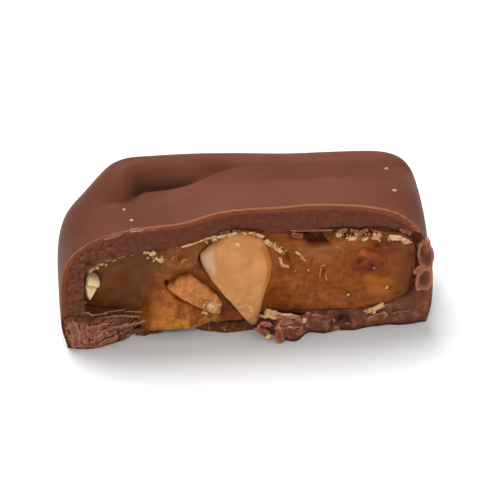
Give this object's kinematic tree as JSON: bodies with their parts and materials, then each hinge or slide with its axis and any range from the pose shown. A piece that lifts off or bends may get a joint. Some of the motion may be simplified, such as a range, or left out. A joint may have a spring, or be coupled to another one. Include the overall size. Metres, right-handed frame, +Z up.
{
  "type": "english toffee",
  "caption": "Half of a milk-chocolate-coated toffee piece, cut across to show amber toffee with almond pieces, resting on its flat base.",
  "frame": {"origin": "on the flat base, under the middle of the piece", "axes": "+X across the piece from left to right as seen from the cut side, +Y from the cut towards the rounded end, +Z up"},
  "size_m": [0.036, 0.0147, 0.0151],
  "materials": {
    "chocolate": "satin milk chocolate skin, matte and lighter where it is cut",
    "toffee": "glossy amber toffee with a broken, uneven face",
    "almond": "dry roasted almond"
  },
  "bodies": {
    "root": {"chocolate_coating": "chocolate", "toffee_bar": "toffee", "almond_large": "almond", "almond_small": "almond", "almond_fragment": "almond"}
  },
  "joints": []
}
